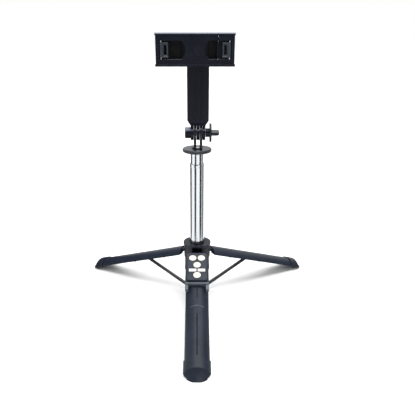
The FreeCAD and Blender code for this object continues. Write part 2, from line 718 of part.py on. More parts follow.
def nut_outline(sketch):
    """A hexagon round the clamp bolt."""
    across = d.nut_flats / math.sqrt(3)
    corners = []
    for corner in range(6):
        angle = math.radians(60 * corner)
        corners.append((across * math.cos(angle), d.bolt_height + across * math.sin(angle)))
    return outline(sketch, corners)


def make_knob():
    """The thumb knob: boss, thin flange and flat wing, with the bolt moulded in."""
    body = new_body("thumb_knob")
    axis = (0.0, d.bolt_height)
    start = d.knuckle_half + 0.3
    pad(body, disc(new_sketch(body, "YZ_Plane", start), d.knob_boss, axis), d.flange_low - start)
    flange = disc(new_sketch(body, "YZ_Plane", d.flange_low), d.flange_radius, axis)
    pad(body, flange, d.flange_high - d.flange_low)
    half = d.wing_thickness / 2
    wing = outline(new_sketch(body, "XZ_Plane"), [
        (d.flange_high - 0.2, d.bolt_height - half), (d.wing_end, d.bolt_height - half),
        (d.wing_end, d.bolt_height + half), (d.flange_high - 0.2, d.bolt_height + half)])
    pad(body, wing, 2 * d.wing_half_depth, middle=True)
    upright = Vector(0, 0, 1)
    round_edges(body, Size(5.0), lambda e: runs_along(e, upright)
                and e.BoundBox.XMin > d.wing_end - 0.01)
    bolt_way = disc(new_sketch(body, "YZ_Plane", start - 1), d.bolt_radius, axis)
    pocket(body, bolt_way, d.flange_high - start, backwards=True)
    on_knuckle("thumb_knob", body)
    bolt = rod("X", d.bolt_radius, 0.8 - d.nut_boss_end, d.flange_high - 1, 0.0, d.bolt_height)
    on_knuckle("clamp_bolt", group(bolt))


# ---------------------------------------------------------------- phone clamp
def window_middle():
    return (d.window_low + d.window_high) / 2


def channel_heights():
    return d.clamp_low + d.channel_offset, d.clamp_high - d.channel_offset


def front_block(body, low_x, high_x, low_y, high_y, low_z, high_z, cutting=False):
    """A box in a clamp body, drawn on the XZ plane. The plane's normal is -Y."""
    face = rectangle(new_sketch(body, "XZ_Plane", -high_y), low_x, high_x, low_z, high_z)
    if cutting:
        return pocket(body, face, high_y - low_y, backwards=True)
    return pad(body, face, high_y - low_y)


def chamfer_ledges(body):
    """Bevels the outer front edges of the ledges along the clamp's top and bottom."""
    front = d.clamp_front - d.ledge
    round_edges(body, Size(1.0), lambda e: runs_along(e, Vector(1, 0, 0))
                and abs(e.BoundBox.YMin - front) < 0.01
                and (e.BoundBox.ZMin > d.clamp_high - 0.01 or e.BoundBox.ZMax < d.clamp_low + 0.01),
                "Chamfer")


def notched_window(body, flat_edge, outer_edge, side):
    """A window pocket whose inner edge bulges in a finger notch."""
    front, floor = d.clamp_front - 2, d.window_floor
    edges = sorted((flat_edge, outer_edge))
    front_block(body, edges[0], edges[1], front, floor, d.window_low, d.window_high, cutting=True)
    centre_x = flat_edge - side * (d.notch_radius - d.notch_depth)
    wedge = new_body(body.Name + "_notch")
    pad(wedge, notch_outline(wedge, flat_edge, centre_x, side, floor), floor - front)
    return wedge


def notch_outline(wedge, flat_edge, centre_x, side, floor):
    """The part of the finger notch's circle that lies beyond the window's straight edge."""
    sketch = new_sketch(wedge, "XZ_Plane", -floor)
    reach = math.sqrt(d.notch_radius ** 2 - (d.notch_radius - d.notch_depth) ** 2)
    middle = float(window_middle())
    tip = Vector(float(centre_x + side * d.notch_radius), middle, 0)
    low = Vector(float(flat_edge), middle - reach, 0)
    high = Vector(float(flat_edge), middle + reach, 0)
    sketch.addGeometry(Part.Arc(low, tip, high), False)
    sketch.addGeometry(Part.LineSegment(high, low), False)
    sketch.addConstraint(Sketcher.Constraint("Coincident", 0, 1 if side > 0 else 2, 1, 2))
    sketch.addConstraint(Sketcher.Constraint("Coincident", 0, 2 if side > 0 else 1, 1, 1))
    pin_point(sketch, 0, 3, (centre_x, window_middle()))
    made = sketch.addConstraint(Sketcher.Constraint("Radius", 0, float(d.notch_radius)))
    bind(sketch, f"Constraints[{made}]", d.notch_radius)
    made = sketch.addConstraint(Sketcher.Constraint("DistanceX", -1, 1, 1, 1, float(flat_edge)))
    bind(sketch, f"Constraints[{made}]", flat_edge)
    sketch.addConstraint(Sketcher.Constraint("Vertical", 1))
    return sketch


def make_clamp_body():
    seam = d.seam - d.seam_gap / 2
    middle = (d.arm_offset, d.pivot_height)
    body = new_body("holder_block")
    front_block(body, d.clamp_left, seam, d.clamp_front, d.clamp_back, d.clamp_low, d.clamp_high)
    for low, high in ((d.clamp_low, d.clamp_low + d.ledge_height),
                      (d.clamp_high - d.ledge_height, d.clamp_high)):
        front_block(body, d.clamp_left - d.ledge, seam, d.clamp_front - d.ledge,
                    d.clamp_front + 3, low, high)
    chamfer_ledges(body)
    wedges = [notched_window(body, d.window_left_inner, d.window_left, 1),
              notched_window(body, d.window_right_inner, seam + 1, -1)]
    for height in channel_heights():
        for depth, radius in ((d.rod_depth, d.rod_radius + 0.06), (d.spring_depth, Size(1.35))):
            channel = disc(new_sketch(body, "YZ_Plane", seam), radius, (depth, height))
            pocket(body, channel, seam + 31)
    back = d.clamp_back
    cover_face = rectangle(new_sketch(body, "XZ_Plane", -back), d.clamp_left + 1.2, seam - 1.6,
                           d.clamp_low + 1.6, d.clamp_high - 1.6)
    cover_pocket(body, cover_face)
    counterbore = disc(new_sketch(body, "XZ_Plane", -d.clamp_front), d.cap_radius, middle)
    pocket(body, counterbore, Size(3.9))
    through = disc(new_sketch(body, "XZ_Plane"), d.pivot_radius + d.tube_play, middle)
    pocket(body, through, 4 * -d.clamp_front, middle=True)
    half_pin = d.claw_height / 2 + 2.4
    pin_way = disc(new_sketch(body, "XY_Plane", window_middle() - half_pin), d.claw_pin,
                   (d.claw_left_hinge, d.claw_hinge_depth))
    pocket(body, pin_way, 2 * half_pin, backwards=True)
    for x, z in cover_screw_places():
        screw_way = disc(new_sketch(body, "XZ_Plane", -back), Size(0.9), (x, z))
        cover_pocket(body, screw_way, Size(6.0))
    piece("holder_body", cut(body, *wedges))


def cover_pocket(body, sketch, depth=Size(1.2)):
    """A pocket that goes forward, towards -Y, from the clamp's back."""
    return pocket(body, sketch, depth, backwards=True)


def cover_screw_places():
    low, high = channel_heights()
    near_pivot = window_middle()
    return [(d.window_left + 1.3, low + 0.2), (d.window_left + 1.3, high - 0.2),
            (Size(-6.5), near_pivot - 6.7), (Size(-6.5), near_pivot + 6.7)]


def make_clamp_fittings():
    """The clamp's cover, screws, pivot screw with its washer and cap, springs and claw pins."""
    seam = d.seam - d.seam_gap / 2
    back = d.clamp_back
    middle = (d.arm_offset, d.pivot_height)
    cover = new_body("holder_cover")
    front_block(cover, d.clamp_left + 1.2, seam - 1.6, back - 1.2, back, d.clamp_low + 1.6,
                d.clamp_high - 1.6)
    hole = disc(new_sketch(cover, "XZ_Plane"), d.pivot_radius + 0.3, middle)
    pocket(cover, hole, 4 * -back, middle=True)
    for x, z in cover_screw_places():
        hole = disc(new_sketch(cover, "XZ_Plane"), Size(0.9), (x, z))
        pocket(cover, hole, 4 * -back, middle=True)
        sunk = disc(new_sketch(cover, "XZ_Plane", -back), Size(1.7), (x, z))
        pocket(cover, sunk, Size(0.7), backwards=True)
    piece("holder_cover", cover)
    screws = []
    for x, z in cover_screw_places():
        screws.append(fuse(rod("Y", Size(0.9), back - 5.8, back - 0.3, x, z),
                           rod("Y", Size(1.7), back - 0.7, back - 0.1, x, z)))
    piece("cover_screws", group(*screws))

    front = d.clamp_front
    x, z = middle
    head = rod("Y", d.cap_radius - 0.9, front + 1.2, front + 3.8, x, z)
    shaft = rod("Y", d.pivot_radius, front + 2, d.arm_half_depth - 0.4, x, z)
    piece("pivot_screw", fuse(head, shaft))
    washer = cut(rod("Y", Size(6.0), back + 0.1, -d.arm_half_depth, x, z),
                 rod("Y", d.pivot_radius, back - 1, Size(0.0), x, z))
    piece("pivot_washer", washer)
    cap = fuse(rod("Y", d.cap_radius - 0.25, front - 0.1, front + 0.8, x, z),
               rod("Y", d.cap_radius, front + 0.5, front + 1.0, x, z))
    piece("pivot_cap", cap)

    half_pin = d.claw_height / 2 + 2.4
    for side, hinge in (("left", d.claw_left_hinge), ("right", d.claw_right_hinge)):
        pin = rod("Z", d.claw_pin, window_middle() - half_pin, window_middle() + half_pin,
                  hinge, d.claw_hinge_depth)
        piece(side + "_claw_pin", group(pin))


def make_springs():
    """Two coil springs beside the guide rods, which pull the jaw shut."""
    coils = []
    for height in channel_heights():
        coil = doc.addObject("Part::Helix", "coil")
        bind(coil, "Radius", d.spring_radius)
        bind(coil, "Pitch", Size(2.5))
        bind(coil, "Height", Size(50.0))
        coil.LocalCoord = 0
        coil.Placement = Placement(Vector(-28.5, d.spring_depth, height), Rotation(Vector(0, 1, 0), 90))
        wire = doc.addObject("Part::Circle", "wire")
        bind(wire, "Radius", d.spring_wire)
        local = Placement(Vector(d.spring_radius, 0, 0), Rotation(Vector(1, 0, 0), 90))
        wire.Placement = coil.Placement * local
        spring = doc.addObject("Part::Sweep", "spring")
        spring.Sections = [wire]
        spring.Spine = (coil, ["Edge1"])
        spring.Solid = True
        spring.Frenet = True
        coils.append(spring)
    piece("jaw_springs", group(*coils))


def make_jaw():
    """The sliding right-hand jaw, its recessed panel and its two guide rods."""
    seam = d.seam + d.seam_gap / 2
    body = new_body("jaw")
    front_block(body, seam, d.clamp_right, d.clamp_front, d.clamp_back, d.clamp_low, d.clamp_high)
    for low, high in ((d.clamp_low, d.clamp_low + d.ledge_height),
                      (d.clamp_high - d.ledge_height, d.clamp_high)):
        front_block(body, seam, d.clamp_right + d.ledge, d.clamp_front - d.ledge,
                    d.clamp_front + 3, low, high)
    chamfer_ledges(body)
    front_block(body, seam - 1, d.window_right, d.clamp_front - 2, d.jaw_floor,
                d.window_low, d.window_high, cutting=True)
    front_block(body, seam - 1.3, seam - 0.3, d.jaw_floor - 2.4, d.jaw_floor + 1.6,
                d.window_low + 0.8, d.window_high - 0.8)
    front_block(body, seam - 0.4, seam + 0.5, d.jaw_floor, d.jaw_floor + 1.6,
                d.window_low + 0.8, d.window_high - 0.8)
    for height in channel_heights():
        for depth, radius, reach in ((d.rod_depth, d.rod_radius, 13.5), (d.spring_depth, Size(1.35), 3.5)):
            channel = disc(new_sketch(body, "YZ_Plane", seam), radius, (depth, height))
            pocket(body, channel, Size(reach), backwards=True)
    half_pin = d.claw_height / 2 + 2.4
    pin_way = disc(new_sketch(body, "XY_Plane", window_middle() - half_pin), d.claw_pin,
                   (d.claw_right_hinge, d.claw_hinge_depth))
    pocket(body, pin_way, 2 * half_pin, backwards=True)
    piece("jaw", body)
    rods = [rod("X", d.rod_radius, Size(-30.0), seam + 13.5, d.rod_depth, height)
            for height in channel_heights()]
    piece("guide_rods", group(*rods))


def make_claw(side, hinge, direction):
    """A flip-out claw, folded flat in its window. Its lip then points into the recess."""
    depth, reach = d.claw_hinge_depth, d.claw_reach
    low = window_middle() - d.claw_height / 2
    high = window_middle() + d.claw_height / 2

    def span(start, end):
        return sorted((hinge + direction * start, hinge + direction * end))

    front, back = depth - 0.9, depth + 0.7
    barrel = rod("Z", d.claw_barrel, low, high, hinge, depth)
    plate = block(span(0.4, reach), (front + 0.5, back), (low, high))
    rims = [block(span(1.6, reach), (front, back), (edge, edge + 1.5)) for edge in (low, high - 1.5)]
    heel = block(span(0.4, 1.9), (front, back), (low, high))
    lip = block(span(reach - 1.3, reach), (front + 0.5, back + 1.9), (low, high))
    bore = rod("Z", d.claw_pin + d.pin_play, low - 1, high + 1, hinge, depth)
    opening = block(span(2.7, reach - 1.5), (front - 1, back + 1), (low + 2.6, high - 2.6))
    piece(side + "_claw", cut(fuse(barrel, plate, *rims, heel, lip), bore, opening))


# ---------------------------------------------------------------- remote control
def remote_outline(body, level, half_width, start, end):
    """A rectangle of the remote's plan at a height above the leg, drawn on the XZ plane."""
    return rectangle(new_sketch(body, "XZ_Plane", level), -half_width, half_width, -end, -start)


BUTTONS = {
    "button_upper_left": (-1, 15.1), "button_upper_right": (1, 15.1), "button_middle": (0, 25.0),
    "button_lower": (0, 39.2),
}
BARS = {"bar_button_left": (-1, 32.4), "bar_button_right": (1, 32.4)}


def button_hole(body, side, down, grow, bar, level):
    """The plan of one button, with the given growth on every side."""
    sketch = new_sketch(body, "XZ_Plane", level)
    if not bar:
        return disc(sketch, d.button_radius + grow, (side * d.button_spread, Size(-down)))
    half, tall = d.bar_length / 2 + grow, d.bar_width / 2 + grow
    middle = side * d.button_spread
    return rectangle(sketch, middle - half, middle + half, -down - tall, -down + tall)


def every_button():
    for label, (side, down) in BUTTONS.items():
        yield label, side, down, False
    for label, (side, down) in BARS.items():
        yield label, side, down, True


def make_remote():
    place = on_leg(0.0)
    start, end, half = d.remote_start, d.remote_end, d.remote_half_width
    wall = d.remote_wall
    bottom = d.bed_radius + 0.1
    along = Vector(0, 1, 0)

    def corners(edge):
        return runs_along(edge, along) and abs(edge.BoundBox.XMin) > half - 0.01

    lower = new_body("remote_lower_shell")
    pad(lower, remote_outline(lower, bottom, half, start, end), d.remote_split - bottom)
    round_edges(lower, Size(2.0), corners)
    tray = remote_outline(lower, d.remote_split, half - wall, start + wall, end - wall)
    pocket(lower, tray, d.remote_split - bottom - 0.8)
    piece("remote_lower_shell", lower, place)

    upper = new_body("remote_upper_shell")
    pad(upper, remote_outline(upper, d.remote_split, half, start, end), d.remote_face - d.remote_split)
    round_edges(upper, Size(2.0), corners)
    cavity = remote_outline(upper, d.remote_split, half - wall, start + wall, end - wall)
    pocket(upper, cavity, d.remote_face - d.remote_split - wall, backwards=True)
    for label, side, down, bar in every_button():
        pocket(upper, button_hole(upper, side, down, Size(0.1), bar, d.remote_face + 1), wall + 2)
    piece("remote_upper_shell", upper, place)

    top = d.board_low + d.board_thickness
    board = block((-half + wall + 0.3, half - wall - 0.3), (-top, -d.board_low),
                  (-end + wall + 0.3, -start - wall - 0.3))
    piece("remote_circuit_board", group(board), place)
    cell = rod("Y", Size(8.0), -d.board_low, -bottom - 0.8, 0.0, Size(-27.0))
    piece("coin_cell", group(cell), place)

    domes = []
    under = d.remote_face - wall - 0.45
    for label, side, down, bar in every_button():
        domes.append(rod("Y", Size(1.6), -top - 0.1, -top, side * d.button_spread, Size(-down)))
        button = new_body(label)
        flange = button_hole(button, side, down, Size(0.35), bar, under)
        pad(button, flange, Size(0.4))
        rise = d.remote_face + d.button_proud - under
        pad(button, button_hole(button, side, down, Size(0.0), bar, under), rise)
        piece(label, button, place)
    piece("dome_switches", group(*domes), place)

    outer = d.rail_outer
    skirt = Size(-11.2)
    band = block((-outer, outer), (-d.bed_radius - 2.6, skirt), (-d.clip_end, -end - 0.5))
    prongs = [block(edges, (-d.bed_radius - 1.4, skirt), (-d.clip_prong, -d.clip_end + 0.1))
              for edges in ((-outer, -outer + 3.2), (outer - 3.2, outer))]
    clip = fuse(band, *prongs)
    piece("remote_clip", cut(clip, rod("Z", d.leg_radius, -d.clip_prong - 1, -end + 1)), place)


# ---------------------------------------------------------------- everything, checked and written
make_collar()
for leg_side, leg_azimuth in LEGS.items():
    make_leg(leg_side, leg_azimuth)
    make_strut(leg_side, leg_azimuth)
make_hub()
make_column()
make_pan_head()
make_arm()
make_knob()
make_clamp_body()
make_clamp_fittings()
make_springs()
make_jaw()
make_claw("left", d.claw_left_hinge, 1)
make_claw("right", d.claw_right_hinge, -1)
make_remote()
doc.recompute()

for thing in doc.Objects:
    if "Invalid" in thing.State or "Error" in thing.State:
        raise RuntimeError(f"{thing.Label} ({thing.Name}) did not build: {thing.State}")
for name, thing in pieces.items():
    if thing.Shape.isNull() or not thing.Shape.isValid() or not thing.Shape.Solids:
        raise RuntimeError(f"the shape of {name} is empty or not valid")

os.makedirs("parts", exist_ok=True)
for name, thing in pieces.items():
    thing.Shape.exportStep(f"parts/{name}.step")
print(len(pieces), "pieces written")
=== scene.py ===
import json
import math

import bmesh
import bpy
from mathutils import Matrix, Vector


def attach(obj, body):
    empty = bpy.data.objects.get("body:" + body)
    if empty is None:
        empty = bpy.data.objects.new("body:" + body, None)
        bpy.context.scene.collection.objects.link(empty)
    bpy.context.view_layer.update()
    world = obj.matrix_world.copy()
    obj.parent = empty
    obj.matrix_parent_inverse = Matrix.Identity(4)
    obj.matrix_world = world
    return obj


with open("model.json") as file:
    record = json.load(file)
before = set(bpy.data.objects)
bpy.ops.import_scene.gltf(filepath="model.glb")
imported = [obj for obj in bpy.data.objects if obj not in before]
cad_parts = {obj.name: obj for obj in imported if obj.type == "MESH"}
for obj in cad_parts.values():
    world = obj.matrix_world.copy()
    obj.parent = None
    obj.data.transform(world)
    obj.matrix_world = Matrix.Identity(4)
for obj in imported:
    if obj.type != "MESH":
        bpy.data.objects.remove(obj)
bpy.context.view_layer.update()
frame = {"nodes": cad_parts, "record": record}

nodes = frame["nodes"]

# ------------------------------------------------------------------ where the tripod's pieces are
SLOPE = math.radians(20.6)
FOLD = math.pi / 2 - SLOPE
HINGE_HEIGHT, HINGE_RADIUS = 0.0564, 0.0104


def leg_frame(azimuth):
    """From the closed handle (hinge at height 0, leg along -Z, outside towards -Y) to the open leg."""
    lift = Matrix.Translation((0, 0, HINGE_HEIGHT))
    out = Matrix.Translation((0, -HINGE_RADIUS, 0))
    back = Matrix.Translation((0, HINGE_RADIUS, 0))
    turn = Matrix.Rotation(azimuth, 4, "Z")
    return lift @ turn @ out @ Matrix.Rotation(-FOLD, 4, "X") @ back


# ------------------------------------------------------------------ materials
class Shader:
    """A node material with a few short-hands."""

    def __init__(self, name):
        self.material = bpy.data.materials.new(name)
        self.material.use_nodes = True
        self.tree = self.material.node_tree
        self.surface = self.tree.nodes["Principled BSDF"]

    def add(self, kind, **settings):
        node = self.tree.nodes.new(kind)
        for key, value in settings.items():
            if key in node.inputs:
                node.inputs[key].default_value = value
            else:
                setattr(node, key, value)
        return node

    def link(self, output, socket):
        self.tree.links.new(output, socket)

    def coordinates(self):
        return self.add("ShaderNodeTexCoord").outputs["Object"]

    def noise(self, scale, detail=4.0, roughness=0.55, stretch=None):
        place = self.coordinates()
        if stretch:
            mapping = self.add("ShaderNodeMapping")
            mapping.inputs["Scale"].default_value = stretch
            self.link(place, mapping.inputs["Vector"])
            place = mapping.outputs["Vector"]
        noise = self.add("ShaderNodeTexNoise")
        noise.inputs["Scale"].default_value = scale
        noise.inputs["Detail"].default_value = detail
        noise.inputs["Roughness"].default_value = roughness
        self.link(place, noise.inputs["Vector"])
        return noise.outputs["Fac"]

    def ramp(self, factor, low, high, start=0.35, end=0.65):
        ramp = self.add("ShaderNodeMapRange")
        ramp.inputs["From Min"].default_value = start
        ramp.inputs["From Max"].default_value = end
        ramp.inputs["To Min"].default_value = low
        ramp.inputs["To Max"].default_value = high
        self.link(factor, ramp.inputs["Value"])
        return ramp.outputs["Result"]

    def blend(self, factor, first, second):
        mix = self.add("ShaderNodeMix")
        mix.data_type = "RGBA"
        for socket, colour in ((mix.inputs[6], first), (mix.inputs[7], second)):
            if isinstance(colour, (tuple, list)):
                socket.default_value = (*colour, 1.0)
            else:
                self.link(colour, socket)
        self.link(factor, mix.inputs[0])
        return mix.outputs[2]

    def bump(self, height, distance, strength=1.0, below=None):
        bump = self.add("ShaderNodeBump")
        bump.inputs["Distance"].default_value = distance
        bump.inputs["Strength"].default_value = strength
        self.link(height, bump.inputs["Height"])
        if below is not None:
            self.link(below, bump.inputs["Normal"])
        return bump.outputs["Normal"]

    def edges(self):
        """1 on outer edges, 0 elsewhere."""
        pointed = self.add("ShaderNodeNewGeometry").outputs["Pointiness"]
        return self.ramp(pointed, 0.0, 1.0, 0.52, 0.60)


def shade(colour, factor):
    return tuple(min(1.0, c * factor) for c in colour)


def plastic(name, colour, rough=0.4, relief=0.00002, specular=0.22, painted_top_highlight=None):
    """Moulded plastic: spark-eroded grain, faint flow streaks, edges rubbed paler, and an optional
    painted highlight that lightens up-facing faces.
    """
    grain, wear = 2600.0, 1.6
    s = Shader(name)
    cloud = s.noise(60.0, 3.0)
    streak = s.noise(40.0, 5.0, stretch=(1.0, 1.0, 0.18))
    base = s.blend(s.ramp(cloud, 0.0, 1.0), shade(colour, 0.86), shade(colour, 1.14))
    base = s.blend(s.ramp(streak, 0.0, 0.35, 0.5, 0.72), base, shade(colour, 1.3))
    worn = s.add("ShaderNodeMath", operation="MULTIPLY")
    s.link(s.edges(), worn.inputs[0])
    s.link(s.ramp(s.noise(180.0, 6.0), 0.1, 0.8, 0.4, 0.65), worn.inputs[1])
    base = s.blend(worn.outputs[0], base, shade(colour, wear))
    # painted highlight: faces whose normal points up are blended towards a paler colour, standing in for
    # the light they catch from above
    if painted_top_highlight:
        parts = s.add("ShaderNodeSeparateXYZ")
        s.link(s.add("ShaderNodeTexCoord").outputs["Normal"], parts.inputs[0])
        base = s.blend(s.ramp(parts.outputs["Z"], 0.0, 1.0, 0.35, 0.72), base, painted_top_highlight)
    s.link(base, s.surface.inputs["Base Color"])
    s.link(s.ramp(s.noise(220.0, 6.0), rough - 0.05, rough + 0.07), s.surface.inputs["Roughness"])
    grainy = s.bump(s.noise(grain, 3.0, 0.6), relief, 0.55)
    s.link(s.bump(s.noise(25.0, 2.0), 0.00012, 0.35, grainy), s.surface.inputs["Normal"])
    s.surface.inputs["Specular IOR Level"].default_value = specular
    return s.material


def rubber(name, colour, rough=0.62):
    s = Shader(name)
    base = s.blend(s.ramp(s.noise(90.0), 0.0, 1.0), shade(colour, 0.88), shade(colour, 1.12))
    dusty = s.blend(s.ramp(s.noise(500.0, 6.0), 0.0, 0.3, 0.58, 0.74), base, shade(colour, 1.5))
    s.link(dusty, s.surface.inputs["Base Color"])
    s.link(s.ramp(s.noise(300.0), rough - 0.08, rough + 0.08), s.surface.inputs["Roughness"])
    s.link(s.bump(s.noise(3400.0, 2.0), 0.00003, 0.6), s.surface.inputs["Normal"])
    s.surface.inputs["Specular IOR Level"].default_value = 0.2
    return s.material


def soft_button(name, colour):
    """Silicone rubber keys: warm white, slightly translucent, dusty in the mould's corners."""
    s = Shader(name)
    base = s.blend(s.ramp(s.noise(260.0), 0.0, 1.0), shade(colour, 0.94), shade(colour, 1.03))
    pale = s.blend(s.edges(), base, (0.93, 0.90, 0.80))
    s.link(pale, s.surface.inputs["Base Color"])
    s.link(s.ramp(s.noise(420.0), 0.42, 0.56), s.surface.inputs["Roughness"])
    s.link(s.bump(s.noise(2800.0, 2.0), 0.00002, 0.5), s.surface.inputs["Normal"])
    s.surface.inputs["Subsurface Weight"].default_value = 0.25
    s.surface.inputs["Subsurface Radius"].default_value = (0.002, 0.0016, 0.001)
    s.surface.inputs["Subsurface Scale"].default_value = 0.4
    return s.material


def metal(name, colour, rough, streaks=(1.0, 1.0, 0.02), scale=900.0, depth=0.000012, spread=0.06):
    """Drawn or turned metal: fine streaks along the way that it was worked."""
    s = Shader(name)
    drawn = s.noise(scale, 4.0, 0.6, stretch=streaks)
    base = s.blend(s.ramp(drawn, 0.0, 1.0, 0.3, 0.7), shade(colour, 0.93), shade(colour, 1.05))
    smear = s.noise(45.0, 5.0)
    base = s.blend(s.ramp(smear, 0.0, 0.2, 0.5, 0.8), base, shade(colour, 0.8))
    s.link(base, s.surface.inputs["Base Color"])
    s.surface.inputs["Metallic"].default_value = 1.0
    s.link(s.ramp(smear, rough, rough + spread, 0.35, 0.7), s.surface.inputs["Roughness"])
    s.link(s.bump(drawn, depth, 0.4), s.surface.inputs["Normal"])
    return s.material


def painted(name, colour):
    """Satin paint on thin metal bars, with faint orange peel and rubbed edges."""
    s = Shader(name)
    base = s.blend(s.ramp(s.noise(80.0), 0.0, 1.0), shade(colour, 0.85), shade(colour, 1.2))
    base = s.blend(s.edges(), base, shade(colour, 2.2))
    s.link(base, s.surface.inputs["Base Color"])
    s.link(s.ramp(s.noise(260.0), 0.28, 0.4), s.surface.inputs["Roughness"])
    s.link(s.bump(s.noise(700.0, 2.0), 0.00003, 0.4), s.surface.inputs["Normal"])
    s.surface.inputs["Coat Weight"].default_value = 0.2
    s.surface.inputs["Coat Roughness"].default_value = 0.2
    return s.material


def circuit(name):
    """Solder mask with copper tracks showing through."""
    s = Shader(name)
    voronoi = s.add("ShaderNodeTexVoronoi", feature="DISTANCE_TO_EDGE")
    voronoi.inputs["Scale"].default_value = 420.0
    s.link(s.coordinates(), voronoi.inputs["Vector"])
    tracks = s.ramp(voronoi.outputs["Distance"], 1.0, 0.0, 0.04, 0.09)
    base = s.blend(tracks, (0.012, 0.10, 0.045), (0.05, 0.22, 0.10))
    s.link(base, s.surface.inputs["Base Color"])
    s.link(s.ramp(s.noise(500.0), 0.25, 0.4), s.surface.inputs["Roughness"])
    s.link(s.bump(tracks, 0.00004, 0.6), s.surface.inputs["Normal"])
    return s.material


looks = {
    "black_plastic": plastic("black_plastic", (0.007, 0.009, 0.015), 0.34, specular=0.18),
    # clamp and claw plastics: their top colour is a painted highlight on up-facing faces
    "clamp_plastic": plastic("clamp_plastic", (0.0045, 0.0055, 0.010), 0.32, specular=0.12,
                             painted_top_highlight=(0.15, 0.165, 0.21)),
    "clamp_panel": plastic("clamp_panel", (0.0055, 0.0065, 0.011), 0.30, specular=0.14),
    "claw_plastic": plastic("claw_plastic", (0.022, 0.028, 0.036), 0.30, specular=0.25,
                            painted_top_highlight=(0.24, 0.29, 0.32)),
    "leg_plastic": plastic("leg_plastic", (0.011, 0.015, 0.025), 0.36, specular=0.17),
    "foot_rubber": rubber("foot_rubber", (0.011, 0.015, 0.024), 0.42),
    "strut_metal": painted("strut_metal", (0.005, 0.006, 0.009)),
    "chrome_tube": metal("chrome_tube", (0.50, 0.525, 0.54), 0.15, spread=0.04, depth=0.000004),
    "steel": metal("steel", (0.58, 0.59, 0.61), 0.22),
    "spring_steel": metal("spring_steel", (0.50, 0.51, 0.54), 0.25, streaks=(0.05, 1.0, 1.0)),
    "bush_plastic": plastic("bush_plastic", (0.075, 0.075, 0.08), 0.5),
    "disc_plastic": plastic("disc_plastic", (0.018, 0.022, 0.028), 0.30, relief=0.00001, specular=0.38),
    "clip_plastic": plastic("clip_plastic", (0.085, 0.098, 0.115), 0.36),
    "remote_plastic": plastic("remote_plastic", (0.020, 0.025, 0.035), 0.34, relief=0.000012),
    "remote_back": plastic("remote_back", (0.008, 0.010, 0.014), 0.42),
    "button_rubber": soft_button("button_rubber", (0.60, 0.575, 0.45)),
    "board": circuit("board"),
    # painted highlight: a paler copy of the leg plastic, given to the raised arc on the front leg in
    # place of the light along its ridge
    "leg_edge": plastic("leg_edge", (0.075, 0.085, 0.10), 0.34),
    "shadow_black": rubber("shadow_black", (0.0015, 0.0018, 0.0024), 0.75),
    "cell_steel": metal("cell_steel", (0.66, 0.66, 0.66), 0.2, streaks=(1.0, 0.05, 1.0)),
}
slot_of = {entry["node"]: entry["material_slot"] for entry in frame["record"]["subparts"]}


def paint(piece, look):
    piece.data.materials.clear()
    piece.data.materials.append(looks[look])


# ------------------------------------------------------------------ the frame's own pieces
def soften(piece, width, segments=2, angle=32.0):
    """Welds the frame's split faces and gives the sharp edges the small radius that a mould leaves."""
    weld = piece.modifiers.new("weld", "WELD")
    weld.merge_threshold = 0.000002
    bevel = piece.modifiers.new("bevel", "BEVEL")
    bevel.width = width
    bevel.segments = segments
    bevel.limit_method = "ANGLE"
    bevel.angle_limit = math.radians(angle)
    bevel.use_clamp_overlap = True
    bevel.harden_normals = False
    bevel.miter_outer = "MITER_ARC"
    normal = piece.modifiers.new("normals", "WEIGHTED_NORMAL")
    normal.keep_sharp = True
    normal.weight = 80


EDGES = {
    "collar": 0.00035, "front_leg": 0.0003, "left_leg": 0.0003, "right_leg": 0.0003,
    "front_foot": 0.0006, "left_foot": 0.0006, "right_foot": 0.0006, "remote_clip": 0.0004,
    "foot_hub": 0.0004, "front_strut": 0.00025, "left_strut": 0.00025, "right_strut": 0.00025,
    "mount_arm": 0.0005, "fork_base": 0.0003, "knurled_disc": 0.00012, "thumb_knob": 0.0005,
    "holder_body": 0.00025, "jaw": 0.00025, "left_claw": 0.0002, "right_claw": 0.0002,
    "pivot_cap": 0.00025, "remote_upper_shell": 0.0005, "remote_lower_shell": 0.0003,
    "tube_1": 0.00012, "tube_1_ferrule": 0.00015, "tube_2": 0.00012, "hex_nut": 0.0002,
}
for name, piece in nodes.items():
    look = {"jaw_springs": "spring_steel", "left_claw": "claw_plastic",
            "right_claw": "claw_plastic"}.get(name, slot_of[name])
    paint(piece, look)
    if name in EDGES:
        soften(piece, EDGES[name])


# ------------------------------------------------------------------ small parts that the frame leaves out, and near-black sheets of painted shade
def mesh_piece(name, shape, look, body, matrix=None):
    mesh = bpy.data.meshes.new(name)
    bmesh.ops.recalc_face_normals(shape, faces=shape.faces[:])
    shape.to_mesh(mesh)
    shape.free()
    if matrix is not None:
        mesh.transform(matrix)
    made = bpy.data.objects.new(name, mesh)
    bpy.context.scene.collection.objects.link(made)
    paint(made, look)
    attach(made, body)
    return made


def slab(shape, x_range, y_range, z_range, radius=0.0002):
    """A thin bar with rounded edges."""
    corners = [shape.verts.new((x, y, z)) for x in x_range for y in y_range for z in z_range]
    sides = ((0, 1, 3, 2), (4, 6, 7, 5), (0, 4, 5, 1), (2, 3, 7, 6), (0, 2, 6, 4), (1, 5, 7, 3))
    made = [shape.faces.new([corners[index] for index in side]) for side in sides]
    edges = list({edge for face in made for edge in face.edges})
    bmesh.ops.bevel(shape, geom=edges, offset=radius, segments=2, affect="EDGES", profile=0.5)


FRONT = leg_frame(0.0)
LEG_RADIUS = 0.0138
GROOVE_FLOOR = -0.0129
# half width, front face, reach along the leg, edge radius
GROOVES = (
    (0.00042, -0.01348, (-0.1290, -0.0841), 0.00012),
    (0.00034, -0.01352, (-0.0637, -0.05140), 0.00010),
)
